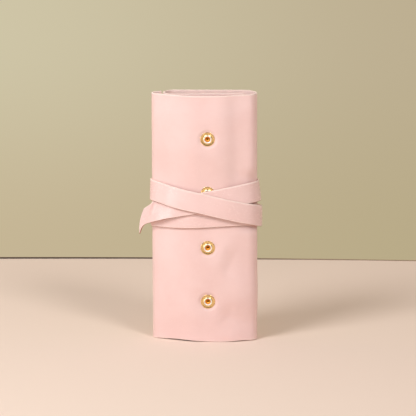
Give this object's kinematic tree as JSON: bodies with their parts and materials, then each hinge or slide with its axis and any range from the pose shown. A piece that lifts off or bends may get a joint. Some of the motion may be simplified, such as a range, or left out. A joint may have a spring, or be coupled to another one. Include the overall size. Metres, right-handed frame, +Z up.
{
  "type": "jewelry roll",
  "caption": "Rolled leather jewelry roll standing on end, tied with a flat wrapped strap, with a column of ring snaps that hold leather loops inside.",
  "frame": {"origin": "on the floor, under the middle of the whole object's bounding box", "axes": "+Z up along the roll; the front cover with its snaps faces -Y; +X is to the right seen from the front; the strap's free end points to -X"},
  "size_m": [0.107, 0.041, 0.215],
  "materials": {
    "pink_leather": "smooth, fine grain, satin",
    "strap_leather": "smooth, fine grain, satin",
    "loop_leather": "smooth, matte",
    "gold_brass": "polished"
  },
  "bodies": {
    "roll": {"back_panel": "pink_leather"},
    "spine": {"spine": "pink_leather"},
    "cover": {"front_cover": "pink_leather", "snap_post_1": "gold_brass", "snap_stud_1": "gold_brass", "loop_base_1": "loop_leather", "snap_post_2": "gold_brass", "snap_stud_2": "gold_brass", "loop_base_2": "loop_leather", "snap_post_3": "gold_brass", "snap_stud_3": "gold_brass", "loop_base_3": "loop_leather", "snap_post_4": "gold_brass", "snap_stud_4": "gold_brass", "loop_base_4": "loop_leather"},
    "inner": {"inner_panel": "pink_leather"},
    "loop_1": {"loop_flap_1": "loop_leather", "snap_socket_1": "gold_brass", "snap_cap_1": "gold_brass"},
    "loop_2": {"loop_flap_2": "loop_leather", "snap_socket_2": "gold_brass", "snap_cap_2": "gold_brass"},
    "loop_3": {"loop_flap_3": "loop_leather", "snap_socket_3": "gold_brass", "snap_cap_3": "gold_brass"},
    "loop_4": {"loop_flap_4": "loop_leather", "snap_socket_4": "gold_brass", "snap_cap_4": "gold_brass"},
    "strap": {"strap": "strap_leather"},
    "tail": {"strap_tail": "strap_leather"}
  },
  "joints": [
    {"name": "spine_fold", "type": "hinge", "parent": "roll", "child": "spine", "pos_m": [0.0437, 0.01258, 0], "axis": [0, 0, 1], "range_deg": [0, 80]},
    {"name": "cover_fold", "type": "hinge", "parent": "spine", "child": "cover", "pos_m": [0.0437, -0.00722, 0], "axis": [0, 0, 1], "range_deg": [0, 80]},
    {"name": "inner_fold", "type": "hinge", "parent": "roll", "child": "inner", "pos_m": [-0.0328, 0.00618, 0], "axis": [0, 0, -1], "range_deg": [0, 40]},
    {"name": "loop_1_open", "type": "hinge", "parent": "cover", "child": "loop_1", "pos_m": [0.02991, -0.00862, 0.1777], "axis": [0, 0, -1], "range_deg": [0, 64]},
    {"name": "loop_2_open", "type": "hinge", "parent": "cover", "child": "loop_2", "pos_m": [0.02991, -0.00862, 0.1303], "axis": [0, 0, -1], "range_deg": [0, 64]},
    {"name": "loop_3_open", "type": "hinge", "parent": "cover", "child": "loop_3", "pos_m": [0.02991, -0.00862, 0.0829], "axis": [0, 0, -1], "range_deg": [0, 64]},
    {"name": "loop_4_open", "type": "hinge", "parent": "cover", "child": "loop_4", "pos_m": [0.02991, -0.00862, 0.0355], "axis": [0, 0, -1], "range_deg": [0, 64]},
    {"name": "strap_lift", "type": "slide", "parent": "roll", "child": "strap", "axis": [0, 0, 1], "range_m": [0, 0.13], "deforming": ["strap"]},
    {"name": "tail_flex", "type": "hinge", "parent": "strap", "child": "tail", "pos_m": [-0.03917, -0.00566, 0.11342], "axis": [-0.1383, 0.0729, 0.9877], "range_deg": [0, 35]}
  ],
  "couplings": [
    {"joint": "cover_fold", "follows": "spine_fold", "ratio": 1},
    {"joint": "inner_fold", "follows": "spine_fold", "ratio": 0.5},
    {"joint": "loop_1_open", "follows": "spine_fold", "ratio": 0.8},
    {"joint": "loop_2_open", "follows": "spine_fold", "ratio": 0.8},
    {"joint": "loop_3_open", "follows": "spine_fold", "ratio": 0.8},
    {"joint": "loop_4_open", "follows": "spine_fold", "ratio": 0.8},
    {"joint": "strap_lift", "follows": "spine_fold", "m_per_rad": 0.093}
  ]
}
